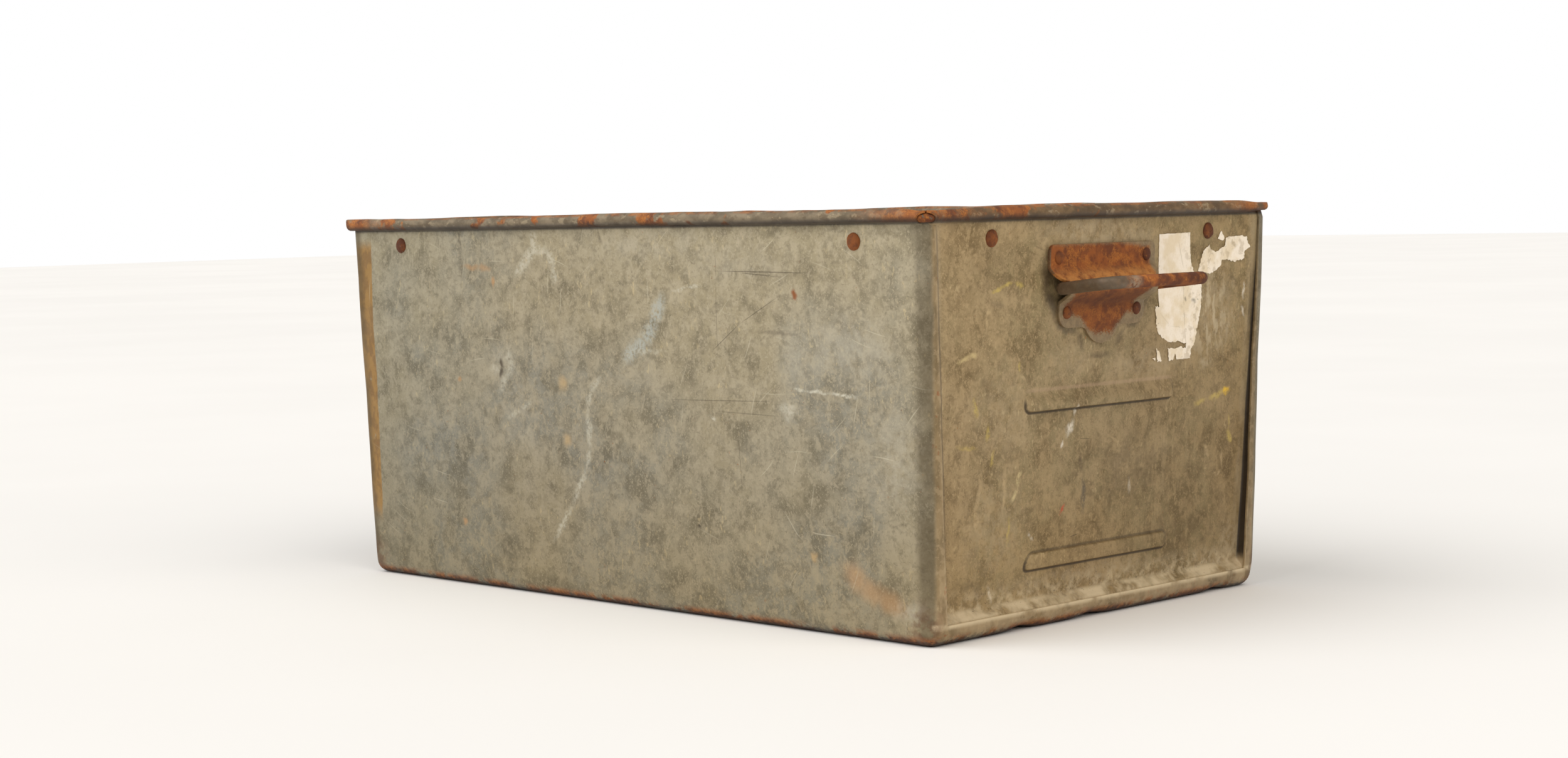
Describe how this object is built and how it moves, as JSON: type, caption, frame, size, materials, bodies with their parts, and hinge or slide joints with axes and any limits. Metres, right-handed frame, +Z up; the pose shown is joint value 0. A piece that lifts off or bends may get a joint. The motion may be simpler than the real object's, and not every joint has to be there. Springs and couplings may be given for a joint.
{
  "type": "tote box",
  "caption": "Open-top stacking tote box in galvanised sheet steel with a wired rolled rim, recessed ribbed end panels, corner stacking seats and hinged drop handles.",
  "frame": {"origin": "centre of the base, on the plane that the box stands on", "axes": "+Z up; +X along the length towards the front end panel, the one that carries the paper scraps; +Y across the width"},
  "size_m": [0.5782, 0.308, 0.2286],
  "materials": {
    "wrap_sheet": "weathered hot-dip galvanised sheet, dull and scratched",
    "end_sheet": "weathered galvanised sheet with a warm grime film",
    "rim_wire": "rusted round wire",
    "gusset_sheet": "weathered galvanised sheet",
    "rim_rivets": "rusted domed steel",
    "plate_rivets": "rusted domed steel",
    "handle_plate": "orange rust over worn zinc",
    "handle_rod": "rusted steel rod with worn zinc",
    "paper": "aged matte paper"
  },
  "bodies": {
    "box": {"body_wrap": "wrap_sheet", "front_end_panel": "end_sheet", "rear_end_panel": "end_sheet", "rim_wire": "rim_wire", "gusset_front_left": "gusset_sheet", "gusset_front_right": "gusset_sheet", "gusset_rear_left": "gusset_sheet", "gusset_rear_right": "gusset_sheet", "rivets_front_left": "rim_rivets", "rivets_front_right": "rim_rivets", "rivets_rear_left": "rim_rivets", "rivets_rear_right": "rim_rivets", "front_handle_plate": "handle_plate", "rear_handle_plate": "handle_plate", "front_plate_rivets": "plate_rivets", "rear_plate_rivets": "plate_rivets", "label_large_scrap": "paper", "label_small_scrap": "paper"},
    "front_bail": {"front_bail": "handle_rod"},
    "rear_bail": {"rear_bail": "handle_rod"}
  },
  "joints": [
    {"name": "front_bail_hinge", "type": "hinge", "parent": "box", "child": "front_bail", "pos_m": [0.25121, -0.0025, 0.1832], "axis": [0, 1, 0], "range_deg": [0, 98]},
    {"name": "rear_bail_hinge", "type": "hinge", "parent": "box", "child": "rear_bail", "pos_m": [-0.25121, 0.0025, 0.1832], "axis": [0, -1, 0], "range_deg": [0, 98]}
  ]
}
